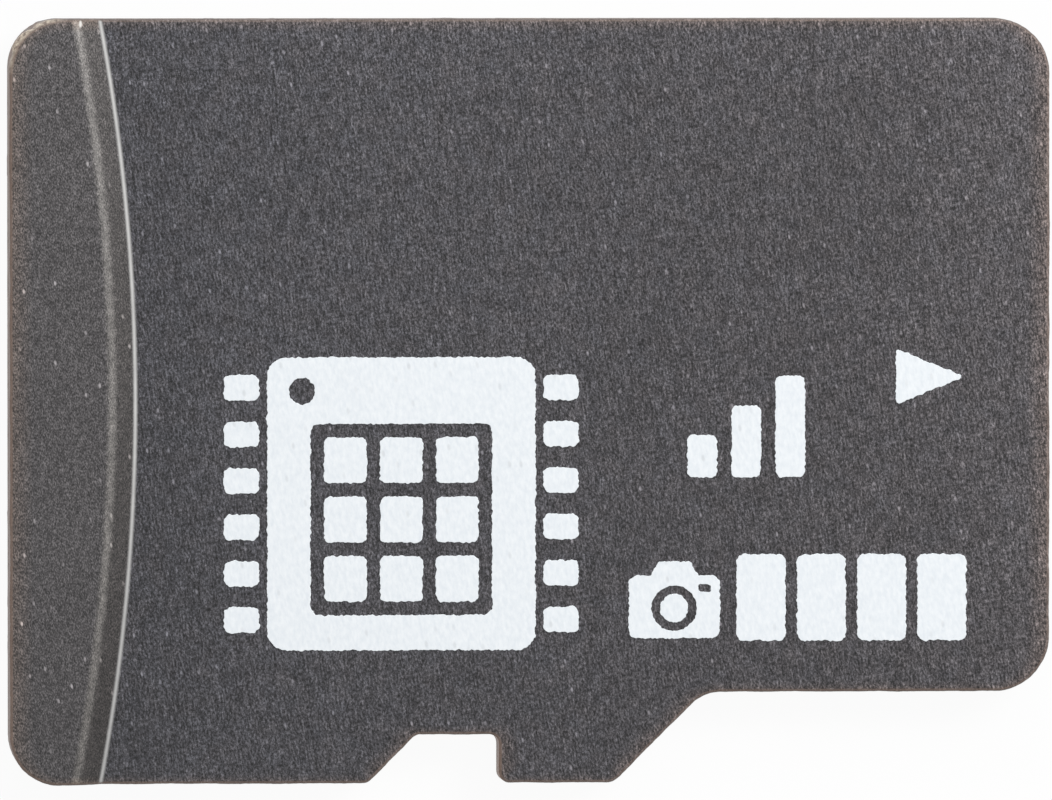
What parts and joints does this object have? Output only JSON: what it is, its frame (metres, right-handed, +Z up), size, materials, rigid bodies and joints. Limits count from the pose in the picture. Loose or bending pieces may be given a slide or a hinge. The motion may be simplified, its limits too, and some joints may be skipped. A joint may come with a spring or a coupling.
{
  "type": "micro memory card",
  "caption": "Thin keyed flash memory card with a bowed grip lip, latch notch and shoulder, gold contacts underneath, and memory dies, controller and bond wires inside the moulding.",
  "frame": {"origin": "middle of the underside, the face that the card rests on", "axes": "+X along the length to the contact end, +Y to the straight long edge, +Z up, out of the label face"},
  "size_m": [0.015, 0.011, 0.001],
  "materials": {
    "moulding_compound": "matte",
    "laminate": "satin",
    "contact_gold": "satin",
    "silicon": "satin",
    "capacitor_ceramic": "satin",
    "wire_gold": "polished",
    "label_ink": "matte"
  },
  "bodies": {
    "root": {"moulded_body": "moulding_compound", "substrate": "laminate", "contact_data_2": "contact_gold", "contact_data_3": "contact_gold", "contact_command": "contact_gold", "contact_supply": "contact_gold", "contact_clock": "contact_gold", "contact_ground": "contact_gold", "contact_data_0": "contact_gold", "contact_data_1": "contact_gold", "memory_die_1": "silicon", "memory_die_2": "silicon", "memory_die_3": "silicon", "memory_die_4": "silicon", "controller_die": "silicon", "decoupling_capacitor_1": "capacitor_ceramic", "decoupling_capacitor_2": "capacitor_ceramic", "decoupling_capacitor_3": "capacitor_ceramic", "decoupling_capacitor_4": "capacitor_ceramic", "memory_bond_wires": "wire_gold", "controller_bond_wires": "wire_gold"}
  },
  "joints": []
}
